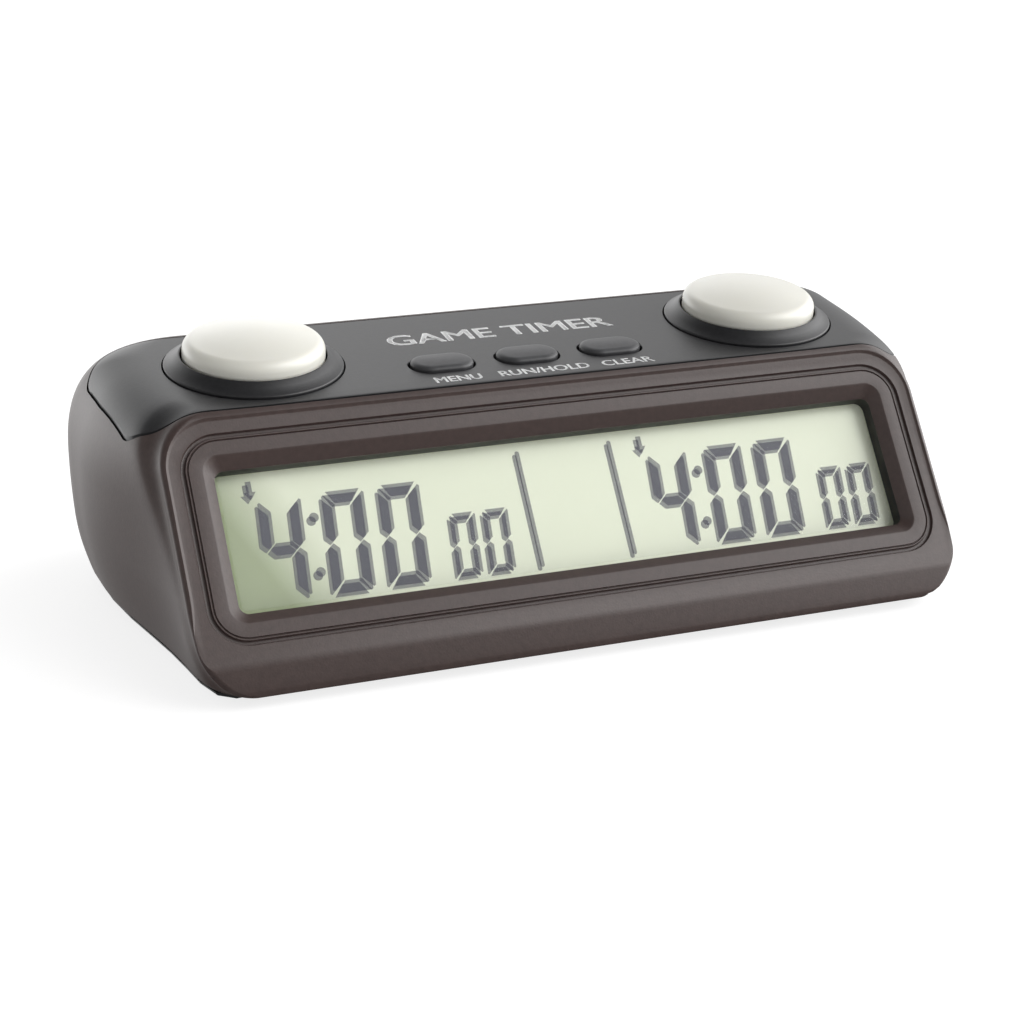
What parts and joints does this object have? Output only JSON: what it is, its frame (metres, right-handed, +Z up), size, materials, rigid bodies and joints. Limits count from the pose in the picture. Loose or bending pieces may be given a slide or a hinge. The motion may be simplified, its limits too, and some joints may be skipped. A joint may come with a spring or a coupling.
{
  "type": "chess clock",
  "caption": "Desktop chess clock: moulded case with a leaning wide LCD, round turn buttons at both ends of a tilted top cover and function keys between them.",
  "frame": {"origin": "centre of the bounding box on the surface that the rubber feet stand on", "axes": "+X to the right seen from the display side, +Y from the display side to the back, +Z up"},
  "size_m": [0.158, 0.0912, 0.0523],
  "materials": {
    "brown_plastic": "fine spark texture, matt",
    "black_plastic": "fine spark texture, matt",
    "cream_plastic": "satin",
    "key_rubber": "matt",
    "clear_window": "polished clear",
    "lcd_glass": "satin polariser",
    "reflector": "satin",
    "elastomer": "matt",
    "circuit_board": "solder resist",
    "chip_resin": "matt",
    "bright_metal": "plated",
    "spring_steel": "drawn wire",
    "screw_steel": "zinc plated",
    "capacitor_sleeve": "gloss sleeve",
    "buzzer_plastic": "matt",
    "battery_wrap": "printed wrap without a mark",
    "foot_rubber": "matt",
    "ribbon_grey": "satin",
    "red_wire": "satin",
    "black_wire": "satin"
  },
  "bodies": {
    "case": {"battery_cell": "battery_wrap", "battery_contact": "bright_metal", "battery_lead_black": "black_wire", "battery_lead_red": "red_wire", "battery_spring": "spring_steel", "board_screw_1": "screw_steel", "board_screw_2": "screw_steel", "board_screw_3": "screw_steel", "board_screw_4": "screw_steel", "body_shell": "brown_plastic", "bottom_cover": "black_plastic", "button_collar_left": "black_plastic", "button_collar_right": "black_plastic", "button_spring_left": "spring_steel", "button_spring_right": "spring_steel", "buzzer": "buzzer_plastic", "buzzer_lead": "black_wire", "capacitor_1": "capacitor_sleeve", "capacitor_2": "capacitor_sleeve", "case_screw_1": "screw_steel", "case_screw_2": "screw_steel", "case_screw_3": "screw_steel", "case_screw_4": "screw_steel", "contact_strip_bottom": "elastomer", "contact_strip_top": "elastomer", "crystal_can": "bright_metal", "display_frame": "black_plastic", "display_window": "clear_window", "key_board": "circuit_board", "lcd_glass": "lcd_glass", "lcd_reflector": "reflector", "main_board": "circuit_board", "power_switch": "bright_metal", "processor_blob": "chip_resin", "ribbon_cable": "ribbon_grey", "rubber_foot_1": "foot_rubber", "rubber_foot_2": "foot_rubber", "rubber_foot_3": "foot_rubber", "rubber_foot_4": "foot_rubber", "switch_left": "chip_resin", "switch_mode": "chip_resin", "switch_reset": "chip_resin", "switch_right": "chip_resin", "switch_start_pause": "chip_resin", "top_cover": "black_plastic"},
    "left_button": {"button_cap_left": "cream_plastic", "button_clip_left": "spring_steel"},
    "right_button": {"button_cap_right": "cream_plastic", "button_clip_right": "spring_steel"},
    "mode_key": {"key_mode": "key_rubber"},
    "start_pause_key": {"key_start_pause": "key_rubber"},
    "reset_key": {"key_reset": "key_rubber"},
    "battery_lid": {"battery_door": "black_plastic"},
    "power_knob": {"power_slider": "black_plastic"}
  },
  "joints": [
    {"name": "button_left_press", "type": "slide", "parent": "case", "child": "left_button", "axis": [0, 0.1288, -0.9917], "range_m": [0, 0.002], "stiffness_N_per_m": 500, "springref_m": -0.0015, "deforming": ["button_spring_left"]},
    {"name": "button_right_press", "type": "slide", "parent": "case", "child": "right_button", "axis": [0, 0.1288, -0.9917], "range_m": [0, 0.002], "stiffness_N_per_m": 500, "springref_m": -0.0015, "deforming": ["button_spring_right"]},
    {"name": "key_mode_press", "type": "slide", "parent": "case", "child": "mode_key", "axis": [0, 0.1288, -0.9917], "range_m": [0, 0.0006], "stiffness_N_per_m": 900, "springref_m": -0.0005},
    {"name": "key_start_pause_press", "type": "slide", "parent": "case", "child": "start_pause_key", "axis": [0, 0.1288, -0.9917], "range_m": [0, 0.0006], "stiffness_N_per_m": 900, "springref_m": -0.0005},
    {"name": "key_reset_press", "type": "slide", "parent": "case", "child": "reset_key", "axis": [0, 0.1288, -0.9917], "range_m": [0, 0.0006], "stiffness_N_per_m": 900, "springref_m": -0.0005},
    {"name": "battery_door_hinge", "type": "hinge", "parent": "case", "child": "battery_lid", "pos_m": [-0.0274, 0.0131, 0.001], "axis": [0, 1, 0], "range_deg": [0, 75]},
    {"name": "power_switch_slide", "type": "slide", "parent": "case", "child": "power_knob", "axis": [1, 0, 0], "range_m": [0, 0.0032]}
  ]
}
